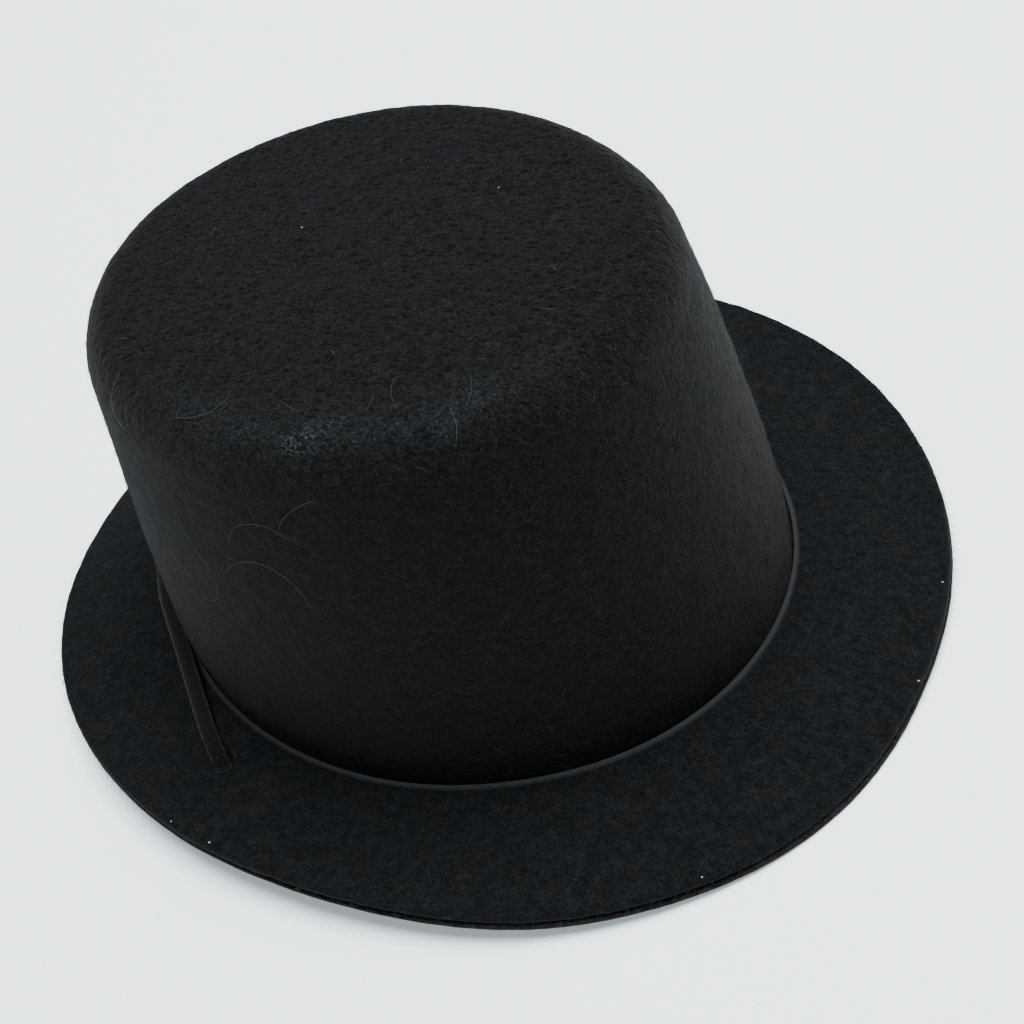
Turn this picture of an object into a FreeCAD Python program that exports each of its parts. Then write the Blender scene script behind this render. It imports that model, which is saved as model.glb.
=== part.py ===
import FreeCAD, Part
import math
import os

# A small felt top hat of the fascinator kind, standing on its brim.
# Millimetres. +Z is up the crown's axis, +X is the front of the hat, and the
# origin is on the surface that the hat stands on, under the middle of it.

os.makedirs("parts", exist_ok=True)
Vector = FreeCAD.Vector

# Brim: an oval plate of two felt plies, dipped at the front and back and
# curled up at the sides.
brim_half_length = 65.0
brim_half_width = 55.2
brim_fullness = 2.13  # exponent of the outline: 2 is an ellipse, more is fuller
top_ply = 1.4
under_ply = 0.7
under_ply_proud = 0.6
brim_dip = 2.3  # the edge rises and falls this far about its mean height
brim_mean_rise = -1.1  # the edge's mean height over the brim's inner part
dip_turn = math.radians(17.2)  # the dip runs a little across the hat's length
curl_power = 1.6  # the curl gathers towards the edge
ring_points = 36
rim_steps = 4
loft_degree = 3

# Crown: an oval felt cup with a slightly bellied wall and a rounded tip edge.
crown_half_length = 45.3
tip_half_length = 38.4
crown_height = 53.0
crown_squash = 0.842  # the oval's width over its length
belly = 1.1
tip_radius = 6.0
least_radius = 1.5  # of the bend inside the crown's tip
tip_paring = 0.02  # taken off the tip, so that its flat is a true plane
felt = 2.0
trim = 1.0  # cutters run on past what they cut by this much

# Inside the crown.
stiffener = 0.6
ribbon = 0.5
ribbon_width = 13.0
opening_inset = 3.6  # the head opening's edge inside the crown's outer wall
glue_gap = 0.06

# Stitches along the ribbon's upper edge.
stitch_count = 28
stitch_length = 2.6
stitch_radius = 0.2
stitch_margin = 1.5
stitch_side_gap = 0.16  # more room at the sides, where the squashed ribbon is thinner

# Elastic: a round cord through two slanting holes in the brim.
elastic_radius = 1.1
hole_radius = 1.3
hole_reach = 6.0
knot_radius = 2.4
knot_half_length = 2.5
setback_share = 0.45  # how much of a run each bend may take up

# The under ply's proud edge carries the dip on a little further.
dip_overrun = 0.093
brim_top_z = brim_dip - brim_mean_rise + dip_overrun + top_ply + under_ply
crown_foot = -top_ply + glue_gap  # the crown stands on the under ply

# The elastic's route on the hat's right-hand side (-Y). The held stretch runs
# from the hole back round the crown's foot to the middle of the back.
hole = Vector(-17.0, -42.4, 4.5)
held_route = [
    hole,
    Vector(-18.9, -40.6, 7.5),
    Vector(-42.1, -19.2, 10.0),
    Vector(-47.8, 0.0, 10.6),
]

# The free stretch goes on through the hole and lies on the surface under the
# hat, back and forth inside the crown's opening, as far as the knot.
floor_z = elastic_radius
free_route = [
    hole,
    Vector(-14.6, -44.6, floor_z),
    Vector(-10.2, -48.6, floor_z),
    Vector(-4.2, -48.6, floor_z),
    Vector(0.2, -44.2, floor_z),
    Vector(0.9, -37.0, floor_z),
    Vector(0.4, -29.6, floor_z),
    Vector(5.0, -25.0, floor_z),
    Vector(13.0, -24.2, floor_z),
    Vector(24.5, -24.6, floor_z),
    Vector(29.4, -20.0, floor_z),
    Vector(29.6, -13.3, floor_z),
    Vector(25.0, -8.4, floor_z),
    Vector(13.5, -6.8, floor_z),
    Vector(-2.0, -8.4, floor_z),
    Vector(-14.0, -12.0, floor_z),
    Vector(-25.5, -15.0, floor_z),
    Vector(-33.3, -10.2, floor_z),
    Vector(-34.0, -2.6, floor_z),
]


def write(name, shape):
    shape.exportStep("parts/" + name + ".step")
    box = shape.BoundBox
    print(
        "%-19s volume %8.1f  x %6.2f %6.2f  y %6.2f %6.2f  z %6.2f %6.2f  solids %d  valid %s"
        % (
            name, shape.Volume, box.XMin, box.XMax, box.YMin, box.YMax,
            box.ZMin, box.ZMax, len(shape.Solids), shape.isValid(),
        )
    )


# ---------------------------------------------------------------- brim

def edge_rise(angle):
    """Height of the brim's edge over its inner part."""
    return brim_mean_rise - brim_dip * math.cos(2.0 * (angle + dip_turn))


def full(value, fullness):
    """A cosine or sine bent towards a fuller oval."""
    return math.copysign(abs(value) ** (2.0 / fullness), value)


def brim_ring(outward, drop, grow=0.0):
    """Closed curve round the brim: outward runs from 0 at the crown to 1 at the edge."""
    crown_half_width = crown_half_length * crown_squash
    half_length = crown_half_length + (brim_half_length - crown_half_length) * outward + grow
    half_width = crown_half_width + (brim_half_width - crown_half_width) * outward + grow
    fullness = 2.0 + (brim_fullness - 2.0) * outward
    reach = outward + grow / (brim_half_length - crown_half_length)
    points = []
    for i in range(ring_points):
        angle = 2.0 * math.pi * i / ring_points
        x = half_length * full(math.cos(angle), fullness)
        y = half_width * full(math.sin(angle), fullness)
        z = brim_top_z + edge_rise(angle) * reach ** curl_power - drop
        points.append(Vector(x, y, z))
    curve = Part.BSplineCurve()
    evenly = [float(i) for i in range(ring_points + 1)]
    curve.interpolate(Points=points, PeriodicFlag=True, Parameters=evenly)
    return Part.Wire([curve.toShape()])


def skin(rings):
    return Part.makeLoft(rings, False, False, False, loft_degree).Faces


def plate(top, thickness, grow):
    """One felt ply as a full oval plate with a rounded edge, its top this far down."""
    half = thickness / 2.0
    rim = []
    for step in range(rim_steps + 1):
        turn = math.pi * step / rim_steps
        inset = half * (1.0 - math.sin(turn))
        rim.append(brim_ring(1.0, top + half * (1.0 - math.cos(turn)), grow - inset))
    outward_steps = (0.0, 0.35, 0.65, 0.88)
    upper = [brim_ring(step, top, grow * step) for step in outward_steps]
    lower = [brim_ring(step, top + thickness, grow * step) for step in outward_steps]
    faces = skin(upper + rim[:1]) + skin(rim) + skin(lower + rim[-1:])
    faces += [Part.Face(upper[0]), Part.Face(lower[0])]
    shell = Part.makeShell(faces)
    shell.sewShape()
    return Part.makeSolid(shell)


def oval(shape):
    """Squash a round shape across the hat, so that it becomes oval."""
    matrix = FreeCAD.Matrix()
    matrix.scale(1.0, crown_squash, 1.0)
    return shape.transformGeometry(matrix)


def oval_plug(half_length):
    """Tall oval prism that cuts an opening through the brim."""
    reach = brim_top_z + trim
    plug = Part.makeCylinder(half_length, 2.0 * reach, Vector(0, 0, brim_top_z - reach))
    return oval(plug)


def mirrored(point):
    return Vector(point.x, -point.y, point.z)


def hole_cutter(route):
    """Slanting round cutter along the elastic's way through the brim."""
    along = (route[1] - route[0]).normalize()
    start = route[0] - along * hole_reach
    return Part.makeCylinder(hole_radius, 2.0 * hole_reach, start, along)


def elastic_holes():
    other_side = [mirrored(point) for point in free_route[:2]]
    return [hole_cutter(free_route[:2]), hole_cutter(other_side)]


def brim_top():
    ply = plate(0.0, top_ply, 0.0)
    ply = ply.cut(oval_plug(crown_half_length + glue_gap))
    return ply.cut(elastic_holes())


def brim_under():
    ply = plate(top_ply + glue_gap, under_ply - glue_gap, under_ply_proud)
    ply = ply.cut(oval_plug(crown_half_length - opening_inset))
    return ply.cut(elastic_holes())


# ---------------------------------------------------------------- crown

def wall_x(height, inset):
    """Half length of the crown's wall at a height over the brim."""
    part_way = height / crown_height
    straight = crown_half_length + (tip_half_length - crown_half_length) * part_way
    return straight + 4.0 * belly * part_way * (1.0 - part_way) - inset


def wall_point(height, inset):
    return Vector(wall_x(height, inset), 0, height)


def turned(edges):
    """Solid of revolution of a closed profile, made oval and set on the brim."""
    solid = Part.Face(Part.Wire(edges)).revolve(Vector(0, 0, 0), Vector(0, 0, 1), 360)
    solid = oval(solid)
    solid.translate(Vector(0, 0, brim_top_z))
    return solid


def bowl(inset, foot):
    """Solid that fills the crown inside this inset, from the foot up to the tip."""
    top = crown_height - inset
    radius = max(tip_radius - inset, least_radius)
    shoulder = top - radius
    low = wall_point(foot, inset)
    middle = wall_point((foot + shoulder) / 2.0, inset)
    high = wall_point(shoulder, inset)
    rim_x = high.x - radius
    bend = radius * math.sqrt(0.5)
    brow = Vector(rim_x + bend, 0, shoulder + bend)
    rim = Vector(rim_x, 0, top)
    centre_top = Vector(0, 0, top)
    centre_foot = Vector(0, 0, foot)
    return turned(
        [
            Part.Arc(low, middle, high).toShape(),
            Part.Arc(high, brow, rim).toShape(),
            Part.LineSegment(rim, centre_top).toShape(),
            Part.LineSegment(centre_top, centre_foot).toShape(),
            Part.LineSegment(centre_foot, low).toShape(),
        ]
    )


def cup(inset, thickness):
    """Open cup of even thickness that stands on the under ply."""
    return bowl(inset, crown_foot).cut(bowl(inset + thickness, crown_foot - trim))


def wall_band(inset, thickness, foot, height):
    """Ribbon round the inside of the crown's wall."""
    top = foot + height
    middle = (foot + top) / 2.0
    corners = [wall_point(z, i) for i in (inset, inset + thickness) for z in (foot, top)]
    outer = Part.Arc(corners[0], wall_point(middle, inset), corners[1])
    inner = Part.Arc(corners[2], wall_point(middle, inset + thickness), corners[3])
    return turned(
        [
            outer.toShape(),
            Part.LineSegment(corners[1], corners[3]).toShape(),
            inner.toShape(),
            Part.LineSegment(corners[2], corners[0]).toShape(),
        ]
    )


stiffener_inset = felt + glue_gap
ribbon_inset = stiffener_inset + stiffener + 2.0 * glue_gap


def crown_shell():
    """The felt cup, its tip pared to a true flat."""
    top = brim_top_z + crown_height
    corner = Vector(-crown_half_length, -crown_half_length, top - tip_paring)
    paring = Part.makeBox(2.0 * crown_half_length, 2.0 * crown_half_length, trim, corner)
    return cup(0.0, felt).cut(paring)


def crown_stiffener():
    return cup(stiffener_inset, stiffener)


def sweatband():
    return wall_band(ribbon_inset, ribbon, crown_foot, ribbon_width)


def sweatband_stitches():
    """Short runs of thread on the ribbon's face, along its upper edge."""
    height = crown_foot + ribbon_width - stitch_margin
    half_length = wall_x(height, ribbon_inset + ribbon + stitch_radius + glue_gap)
    half_width = half_length * crown_squash - stitch_side_gap
    stitches = []
    for i in range(stitch_count):
        angle = 2.0 * math.pi * (i + 0.5) / stitch_count
        x = half_length * math.cos(angle)
        y = half_width * math.sin(angle)
        along = Vector(-half_length * math.sin(angle), half_width * math.cos(angle), 0)
        along.normalize()
        start = Vector(x, y, brim_top_z + height) - along * (stitch_length / 2.0)
        stitches.append(Part.makeCylinder(stitch_radius, stitch_length, start, along))
    return Part.makeCompound(stitches)


# ---------------------------------------------------------------- elastic

def rounded_path(points):
    """Straight runs joined by tangent arcs as large as the runs allow."""
    edges = []
    radii = []
    start = points[0]
    for before, corner, after in zip(points, points[1:], points[2:]):
        inward = before - corner
        outward = after - corner
        setback = setback_share * min(inward.Length, outward.Length)
        half_turn = (math.pi - inward.getAngle(outward)) / 2.0
        radius = setback / math.tan(half_turn)
        inward.normalize()
        outward.normalize()
        bisector = (inward + outward).normalize()
        arc_start = corner + inward * setback
        arc_end = corner + outward * setback
        arc_middle = corner + bisector * (radius / math.cos(half_turn) - radius)
        edges.append(Part.LineSegment(start, arc_start).toShape())
        edges.append(Part.Arc(arc_start, arc_middle, arc_end).toShape())
        radii.append(radius)
        start = arc_end
    edges.append(Part.LineSegment(start, points[-1]).toShape())
    return Part.Wire(edges), radii


def elastic(name, points):
    """Round tube along a route, checked against its section times its length."""
    path, radii = rounded_path(points)
    along = points[1] - points[0]
    section = Part.Wire([Part.makeCircle(elastic_radius, points[0], along)])
    tube = path.makePipeShell([section], True, False)
    expected = math.pi * elastic_radius ** 2 * path.Length
    print(
        "%s length %.1f, volume over section times length %.4f, radii %s"
        % (name, path.Length, tube.Volume / expected, [round(r, 1) for r in radii])
    )
    return tube


def elastic_band():
    """The held stretch, hole to hole round the back of the crown."""
    other_side = [mirrored(point) for point in reversed(held_route[:-1])]
    return elastic("elastic_band", held_route + other_side)


def elastic_knot():
    """Barrel at the middle of the free stretch, where the two ends are tied."""
    middle = free_route[-1]
    base = Vector(middle.x, -knot_half_length, knot_radius)
    return Part.makeCylinder(knot_radius, 2.0 * knot_half_length, base, Vector(0, 1, 0))


write("crown_shell", crown_shell())
write("crown_stiffener", crown_stiffener())
write("brim_top", brim_top())
write("brim_under", brim_under())
write("sweatband", sweatband())
write("sweatband_stitches", sweatband_stitches())
write("elastic_band", elastic_band())
write("elastic_right", elastic("elastic_right", free_route))
write("elastic_left", elastic("elastic_left", [mirrored(point) for point in free_route]))
write("elastic_knot", elastic_knot())
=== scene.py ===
# %% [markdown]
# # A small felt top hat
# This lesson builds the looks of a little wool-felt top hat round its engineering model.
# The model gives every size and place. Blender adds what felt really is: a soft, pitted,
# fuzzy cloth, an elastic that holds the hat on, and the ribbon inside.

# %% Load the frame
import bisect
import math
import random

import bmesh
import bpy
from mathutils import Matrix, Vector, noise


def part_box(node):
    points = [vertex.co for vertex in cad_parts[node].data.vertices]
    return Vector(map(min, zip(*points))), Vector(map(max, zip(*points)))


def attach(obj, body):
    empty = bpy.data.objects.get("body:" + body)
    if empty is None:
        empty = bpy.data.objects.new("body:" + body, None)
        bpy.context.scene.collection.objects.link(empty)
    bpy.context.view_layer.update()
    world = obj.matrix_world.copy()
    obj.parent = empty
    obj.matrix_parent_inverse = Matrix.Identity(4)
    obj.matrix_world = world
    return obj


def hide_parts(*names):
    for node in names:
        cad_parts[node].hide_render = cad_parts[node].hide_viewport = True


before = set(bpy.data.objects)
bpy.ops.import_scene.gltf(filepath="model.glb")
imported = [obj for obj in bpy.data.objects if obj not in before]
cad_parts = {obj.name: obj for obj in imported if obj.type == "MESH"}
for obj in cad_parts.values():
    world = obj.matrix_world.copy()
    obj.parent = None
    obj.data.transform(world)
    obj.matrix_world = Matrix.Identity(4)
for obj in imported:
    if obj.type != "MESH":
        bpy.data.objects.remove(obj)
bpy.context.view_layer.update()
MM = 0.001

# %% [markdown]
# ## The camera
# The camera looks down on the hat from the front, on the wearer's right, close by and with
# a longish lens. It is also rolled, so the hat leans over in its view. An azimuth, an
# elevation, a roll and a distance are easier to change than a matrix, so they are named.

# %% Camera
VIEW_AZIMUTH = math.radians(-46.57)
VIEW_ELEVATION = math.radians(45.53)
VIEW_ROLL = math.radians(-21.03)
VIEW_DISTANCE = 0.259
VIEW_TARGET = Vector((0.0029, 0.0065, 0.0073))
LENS = 64.9


def add_camera():
    outward = Vector((
        math.cos(VIEW_ELEVATION) * math.cos(VIEW_AZIMUTH),
        math.cos(VIEW_ELEVATION) * math.sin(VIEW_AZIMUTH),
        math.sin(VIEW_ELEVATION),
    ))
    data = bpy.data.cameras.new("camera")
    data.lens = LENS
    data.sensor_width = 36.0
    data.clip_start = 0.01
    camera = bpy.data.objects.new("camera", data)
    bpy.context.scene.collection.objects.link(camera)
    turn = (-outward).to_track_quat("-Z", "Y").to_matrix().to_4x4()
    roll = Matrix.Rotation(VIEW_ROLL, 4, "Z")
    place = Matrix.Translation(VIEW_TARGET + outward * VIEW_DISTANCE)
    camera.matrix_world = place @ turn @ roll
    bpy.context.scene.camera = camera
    return camera


camera = add_camera()
print("camera at", [round(v, 4) for v in camera.matrix_world.translation])

# %% [markdown]
# ## Shared helpers
# Felt, ribbon and cord are all grids of points joined by four-sided faces. One helper turns
# rows of points into a mesh. Each row can close on itself, as a ring round the crown does,
# and the rows can close too, as the skin of a ring-shaped piece does.

# %% Mesh helpers
def add_piece(name, verts, faces, material):
    mesh = bpy.data.meshes.new(name)
    mesh.from_pydata(verts, [], faces)
    mesh.materials.append(material)
    mesh.shade_smooth()
    piece = bpy.data.objects.new(name, mesh)
    bpy.context.scene.collection.objects.link(piece)
    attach(piece, "root")
    return piece


def ring_faces(rows, per_row, close_rows=False, start=0):
    """Faces between closed rings of points, each with the same count."""
    faces = []
    last = rows if close_rows else rows - 1
    for r in range(last):
        low = start + r * per_row
        high = start + ((r + 1) % rows) * per_row
        for i in range(per_row):
            j = (i + 1) % per_row
            faces.append((low + i, low + j, high + j, high + i))
    return faces


def smooth_step(low, high, value):
    t = min(max((value - low) / (high - low), 0.0), 1.0)
    return t * t * (3.0 - 2.0 * t)


def set_attribute(piece, name, values):
    attribute = piece.data.attributes.new(name, "FLOAT", "POINT")
    attribute.data.foreach_set("value", values)


# %% [markdown]
# ## Helpers for materials
# Every finish here is a small network of nodes on a Principled shader. The same few steps
# come back each time: make noise, stretch its range, blend two colours, add a bump. Each is
# a function, so that a finish reads as a recipe. Values that are the same all over are set
# straight on the shader.

# %% Node helpers
def new_material(name, roughness, specular, sheen):
    material = bpy.data.materials.new(name)
    material.use_nodes = True
    shader = material.node_tree.nodes["Principled BSDF"]
    shader.inputs["Roughness"].default_value = roughness
    shader.inputs["Specular IOR Level"].default_value = specular
    shader.inputs["Sheen Weight"].default_value = sheen
    shader.inputs["Sheen Roughness"].default_value = 0.5
    shader.inputs["Sheen Tint"].default_value = (0.90, 0.87, 0.85, 1.0)
    return material, material.node_tree.nodes, material.node_tree.links, shader


def add_noise(nodes, links, vector, scale, detail=4.0, roughness=0.6):
    texture = nodes.new("ShaderNodeTexNoise")
    texture.inputs["Scale"].default_value = scale
    texture.inputs["Detail"].default_value = detail
    texture.inputs["Roughness"].default_value = roughness
    links.new(vector, texture.inputs["Vector"])
    return texture.outputs["Fac"]


def stretch(nodes, links, value, low, high, new_low=0.0, new_high=1.0):
    ranged = nodes.new("ShaderNodeMapRange")
    ranged.inputs["From Min"].default_value = low
    ranged.inputs["From Max"].default_value = high
    ranged.inputs["To Min"].default_value = new_low
    ranged.inputs["To Max"].default_value = new_high
    links.new(value, ranged.inputs["Value"])
    return ranged.outputs["Result"]


def blend(nodes, links, factor, a, b, kind="MIX"):
    mix = nodes.new("ShaderNodeMix")
    mix.data_type = "RGBA"
    mix.blend_type = kind
    for socket, value in (("Factor", factor), ("A", a), ("B", b)):
        if isinstance(value, tuple):
            mix.inputs[socket].default_value = (*value, 1.0)
        elif isinstance(value, float):
            mix.inputs[socket].default_value = value
        else:
            links.new(value, mix.inputs[socket])
    return mix.outputs["Result"]


def add_bump(nodes, links, shader, height, distance, strength=1.0):
    bump = nodes.new("ShaderNodeBump")
    bump.inputs["Distance"].default_value = distance
    bump.inputs["Strength"].default_value = strength
    links.new(height, bump.inputs["Height"])
    links.new(bump.outputs["Normal"], shader.inputs["Normal"])


# %% [markdown]
# ## The pits in felt
# Needles and steam leave small pits in felt, roughly in rows. The pits are painted darker,
# which is painted shade in the hollows. A Voronoi texture gives one pit to each cell. Its
# cells are stretched a little along the rows and shifted by noise, so that no two rows agree.
# Pits show most on faces that look up, where the nap lies flat.

# %% Pits
PIT_SPACING = 1.15 * MM
PIT_DRIFT = 1.4 * MM
ROW_ANGLE = math.radians(24.0)


def felt_pits(nodes, links, place):
    rows = nodes.new("ShaderNodeMapping")
    rows.inputs["Rotation"].default_value = (0.0, 0.0, ROW_ANGLE)
    rows.inputs["Scale"].default_value = (0.8, 1.15, 1.0)
    links.new(place, rows.inputs["Vector"])
    drift = nodes.new("ShaderNodeTexNoise")
    drift.inputs["Scale"].default_value = 420.0
    links.new(place, drift.inputs["Vector"])
    shift = nodes.new("ShaderNodeVectorMath")
    shift.operation = "MULTIPLY_ADD"
    links.new(drift.outputs["Color"], shift.inputs[0])
    shift.inputs[1].default_value = (PIT_DRIFT, PIT_DRIFT, PIT_DRIFT)
    links.new(rows.outputs["Vector"], shift.inputs[2])
    cells = nodes.new("ShaderNodeTexVoronoi")
    cells.inputs["Scale"].default_value = 1.0 / PIT_SPACING
    links.new(shift.outputs["Vector"], cells.inputs["Vector"])
    pit = stretch(nodes, links, cells.outputs["Distance"], 0.10, 0.46)
    facing = nodes.new("ShaderNodeSeparateXYZ")
    links.new(nodes.new("ShaderNodeNewGeometry").outputs["Normal"], facing.inputs["Vector"])
    upward = stretch(nodes, links, facing.outputs["Z"], 0.35, 0.95, 0.35, 1.0)
    softer = nodes.new("ShaderNodeMix")
    softer.inputs["A"].default_value = 1.0
    links.new(upward, softer.inputs["Factor"])
    links.new(pit, softer.inputs["B"])
    return softer.outputs["Result"]


print("pits every", round(PIT_SPACING / MM, 2), "mm")

# %% [markdown]
# ## Felt, as a material
# Wool felt is a mat of crimped fibres. It is very dark here, but never flat: each fibre
# catches a little light, and the surface glows softly where it is seen edge on. An image of
# felt would repeat and blur, so noise of three sizes makes the tangle instead, and sheen
# makes the glow. Three marks stored on the mesh's points paint shade at the crown's foot and
# round the elastic's holes, paint a highlight along the pressed ridge, and lay pale specks
# where hands touch, partly dust and partly a painted sheen on the front of the tip's edge.

# %% Felt materials
# Pale specks: partly dust, partly a painted sheen on the front of the tip's edge.
DUST_AND_SHEEN_COLOUR = (0.030, 0.044, 0.050)
# Painted shade: near black, for the crown's foot and round the elastic's holes.
PAINTED_SHADE_COLOUR = (0.0005, 0.0007, 0.0009)
# Painted highlight along the pressed ridge at the brim's inner edge.
RIDGE_PAINTED_HIGHLIGHT = (0.022, 0.0235, 0.025)


def point_mark(nodes, name):
    mark = nodes.new("ShaderNodeAttribute")
    mark.attribute_name = name
    return mark.outputs["Fac"]


def felt_material(name, dark, light, sheen, pit_shade, bump_distance):
    material, nodes, links, shader = new_material(name, 0.95, 0.05, sheen)
    place = nodes.new("ShaderNodeTexCoord").outputs["Object"]
    tangle = add_noise(nodes, links, place, 2900.0)
    strands = add_noise(nodes, links, place, 750.0)
    patches = add_noise(nodes, links, place, 190.0, roughness=0.7)
    pit = felt_pits(nodes, links, place)

    grain = stretch(nodes, links, tangle, 0.36, 0.66)
    colour = blend(nodes, links, grain, dark, light)
    cast = blend(nodes, links, stretch(nodes, links, patches, 0.38, 0.62),
                 (0.87, 1.00, 1.07), (1.10, 0.98, 0.93))
    colour = blend(nodes, links, 1.0, colour, cast, "MULTIPLY")
    low = blend(nodes, links, stretch(nodes, links, strands, 0.35, 0.65),
                (0.62, 0.62, 0.62), (1.25, 1.25, 1.25))
    colour = blend(nodes, links, 1.0, colour, low, "MULTIPLY")
    # Painted shade: the felt's colour is darkened in the pits.
    painted_pit_shade = blend(nodes, links, pit, (pit_shade, pit_shade, pit_shade), (1.0, 1.0, 1.0))
    colour = blend(nodes, links, 1.0, colour, painted_pit_shade, "MULTIPLY")

    # Pale specks near the front of the tip's edge: partly dust, partly a painted sheen.
    speck = add_noise(nodes, links, place, 3000.0, 2.0)
    speck = stretch(nodes, links, speck, 0.50, 0.68)
    both = nodes.new("ShaderNodeMath")
    both.operation = "MULTIPLY"
    links.new(point_mark(nodes, "dust_and_sheen"), both.inputs[0])
    links.new(speck, both.inputs[1])
    colour = blend(nodes, links, both.outputs["Value"], colour, DUST_AND_SHEEN_COLOUR)
    # Painted shade: darker at the crown's foot and round the elastic's holes.
    colour = blend(nodes, links, point_mark(nodes, "painted_shade"), colour, PAINTED_SHADE_COLOUR)
    # Painted highlight on the pressed ridge.
    colour = blend(nodes, links, point_mark(nodes, "ridge_highlight"), colour, RIDGE_PAINTED_HIGHLIGHT)
    links.new(colour, shader.inputs["Base Color"])

    height = nodes.new("ShaderNodeMath")
    height.operation = "MULTIPLY_ADD"
    links.new(pit, height.inputs[0])
    height.inputs[1].default_value = 0.9
    links.new(tangle, height.inputs[2])
    add_bump(nodes, links, shader, height.outputs["Value"], bump_distance)
    return material


crown_felt = felt_material(
    "crown felt", (0.0006, 0.0007, 0.0009), (0.0074, 0.0072, 0.0073), 0.034, 0.30, 0.20 * MM
)
brim_felt = felt_material(
    "brim felt", (0.0016, 0.0020, 0.0024), (0.0064, 0.0072, 0.0080), 0.032, 0.72, 0.12 * MM
)
under_felt = felt_material(
    "under felt", (0.0050, 0.0044, 0.0041), (0.0200, 0.0175, 0.0164), 0.05, 0.60, 0.14 * MM
)
print("felt materials:", crown_felt.name, brim_felt.name, under_felt.name)

# %% [markdown]
# ## The felt's surface
# The hat block leaves long soft hollows in felt, and the mat itself is lumpy. Both are real
# shape, so they are made by moving points along the surface. Three sizes of smooth noise
# do it, from a few centimetres down to under a millimetre.

# %% Felt relief
def felt_relief(point, lively=1.0):
    """How far felt stands out at a point, in metres; pressed felt is not lively."""
    tangle = noise.noise(point / (0.9 * MM)) * 0.08 * MM
    lumps = noise.noise(point / (3.2 * MM)) * 0.10 * MM
    block = noise.noise(point / (26.0 * MM)) * 0.30 * MM
    return block + (lumps + tangle) * lively


print("relief at the origin:", round(felt_relief(Vector()) / MM, 3), "mm")

# %% [markdown]
# ## The crown
# The crown is one cup of felt, steamed and pulled over an oval block. Its section is a
# slightly bellied wall, a soft quarter-round shoulder and a flat tip. The section is turned
# round the axis in fine steps, squashed to an oval, and then given the felt's relief. The
# foot tucks in a little, which throws part of the dark line where the crown meets the brim;
# the rest is painted shade, darkening the felt's colour near the foot. Sizes come first.
# Heights here are measured from the brim's top.

# %% Crown sizes
crown_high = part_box("crown_shell")[1]
TOP_PLY = 1.4 * MM
GLUE_GAP = 0.06 * MM
CROWN_FOOT = -TOP_PLY + GLUE_GAP
CROWN_HEIGHT = 53.0 * MM
BRIM_TOP_Z = crown_high.z - CROWN_HEIGHT
CROWN_HALF_LENGTH = 45.3 * MM
TIP_HALF_LENGTH = 38.4 * MM
CROWN_SQUASH = 0.842
BELLY = 1.1 * MM
TIP_RADIUS = 6.0 * MM
LEAST_RADIUS = 1.5 * MM
FELT = 2.0 * MM
CROWN_LEAN = Vector((0.35, 0.80, 0.0)) * MM
LEAN_POWER = 1.3
print("brim top at", round(BRIM_TOP_Z * 1000, 2), "mm, crown half length",
      round(crown_high.x * 1000, 2), "mm")


def lean(height):
    """The blocked crown stands a little askew: its tip is off to the side and the front."""
    return CROWN_LEAN * (max(height, 0.0) / CROWN_HEIGHT) ** LEAN_POWER


def wall_x(height, inset=0.0):
    part_way = height / CROWN_HEIGHT
    straight = CROWN_HALF_LENGTH + (TIP_HALF_LENGTH - CROWN_HALF_LENGTH) * part_way
    return straight + 4.0 * BELLY * part_way * (1.0 - part_way) - inset


def crown_section(inset, step):
    """Half section from the foot up to the middle of the tip, as (half length, height)."""
    foot = CROWN_FOOT
    top = CROWN_HEIGHT - inset
    radius = max(TIP_RADIUS - inset, LEAST_RADIUS)
    shoulder = top - radius
    section = []
    count = max(2, round((shoulder - foot) / step))
    for i in range(count):
        height = foot + (shoulder - foot) * i / count
        section.append((wall_x(height, inset), height))
    neck = wall_x(shoulder, inset)
    count = max(4, round(radius * math.pi / 2.0 / step))
    for i in range(count):
        turn = math.pi / 2.0 * i / count
        section.append((neck - radius * (1.0 - math.cos(turn)), shoulder + radius * math.sin(turn)))
    rim = neck - radius
    count = max(2, round(rim / step))
    for i in range(count):
        section.append((rim * (1.0 - i / count), top))
    return section


# %% [markdown]
# ## The crown's mesh
# Turning a section with a Screw modifier would be shorter, but the relief has to move each
# point along its own outward direction, so the rings are written out. Two skins, one for
# each face of the felt, are joined at the foot, which makes a closed cup. Each point also
# keeps how much painted shade it gets near the foot, and how much dust and painted sheen it
# gets on the front of the tip's edge, for the material to read.

# %% Crown mesh
FOOT_TUCK = 0.30 * MM
TUCK_HEIGHT = 3.6 * MM
# How strong the painted shade at the crown's foot is.
FOOT_PAINTED_SHADE = 0.85
# Where the pale specks lie, partly dust and partly a painted sheen: the front of the tip's edge.
DUST_SHEEN_CLIMB = 58.5 * MM
DUST_SHEEN_SPREAD = 3.0 * MM
DUST_SHEEN_SIDE = Vector((0.35, -0.94, 0.0))
INNER_STEP = 2.5 * MM
ROUND_STEPS = 640
FINE_STEP = 0.42 * MM


def oval_point(half_length, height, angle):
    across = half_length * CROWN_SQUASH * math.sin(angle)
    middle = Vector((0.0, 0.0, BRIM_TOP_Z + height)) + lean(height)
    return middle + Vector((half_length * math.cos(angle), across, 0.0))


def oval_ring(half_length, height, steps):
    return [oval_point(half_length, height, 2.0 * math.pi * i / steps) for i in range(steps)]


def section_normals(section):
    """Outward direction at each point of a half section, in its own plane."""
    normals = []
    for i in range(len(section)):
        x0, z0 = section[max(i - 1, 0)]
        x1, z1 = section[min(i + 1, len(section) - 1)]
        length = math.hypot(x1 - x0, z1 - z0)
        normals.append(((z1 - z0) / length, -(x1 - x0) / length))
    return normals


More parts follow.
